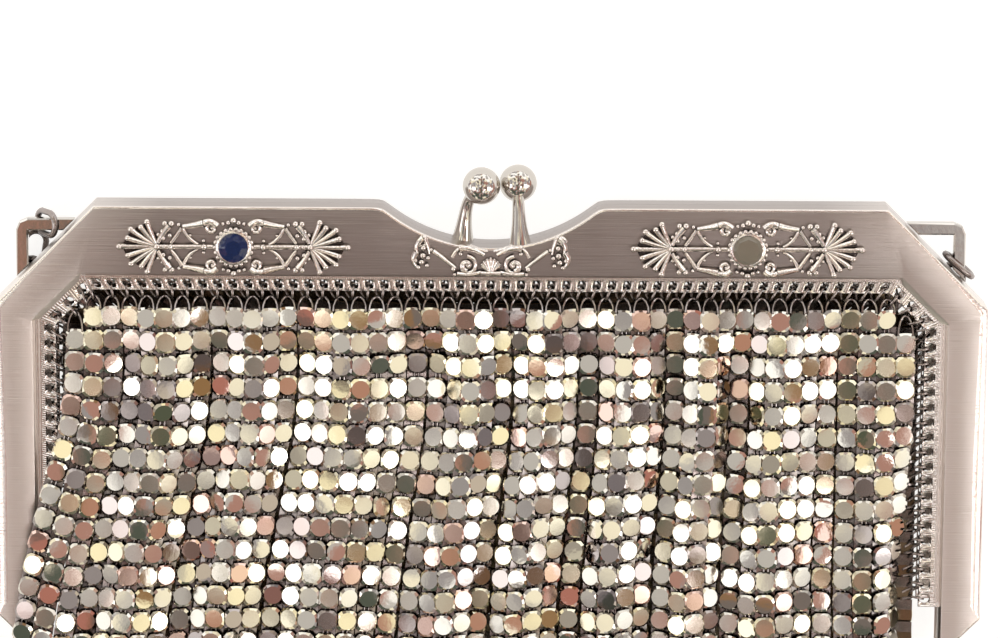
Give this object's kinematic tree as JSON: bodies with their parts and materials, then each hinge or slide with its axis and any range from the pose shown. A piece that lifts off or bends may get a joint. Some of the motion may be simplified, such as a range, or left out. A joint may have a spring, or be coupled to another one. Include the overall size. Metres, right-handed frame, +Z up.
{
  "type": "metal mesh purse",
  "caption": "Metal mesh purse, closed and lying on its back: chamfered kiss-lock frame with cast relief ornaments and set stones, ears with a handle chain, and a pleated bag of disc mesh.",
  "frame": {"origin": "middle of the purse's outline, on the surface that it lies on", "axes": "+Z up out of the front of the purse, +Y from the bag towards the clasp, +X to the right seen from the front"},
  "size_m": [0.166, 0.1714, 0.017],
  "materials": {
    "frame_silver": "brushed along the frame, polished at its edges",
    "fitting_silver": "polished, slightly worn",
    "clasp_silver": "mirror polished",
    "cast_silver": "cast relief, polished on top and dark in the hollows",
    "mesh_silver": "polished discs with a faint warm tone",
    "stone_blue": "faceted, dark blue",
    "stone_grey": "faceted, clear grey over a dark foil"
  },
  "bodies": {
    "root": {"frame_front": "frame_silver", "frame_back": "frame_silver", "hinge_rivet_left": "fitting_silver", "hinge_rivet_right": "fitting_silver", "clasp_back": "clasp_silver", "clasp_front": "clasp_silver", "ear_left": "fitting_silver", "ear_right": "fitting_silver", "ear_link_left": "fitting_silver", "ear_link_right": "fitting_silver", "chain": "fitting_silver", "ornament_left": "cast_silver", "ornament_right": "cast_silver", "ornament_centre": "cast_silver", "stone_left": "stone_blue", "stone_right": "stone_grey", "mesh_bag": "mesh_silver"}
  },
  "joints": []
}
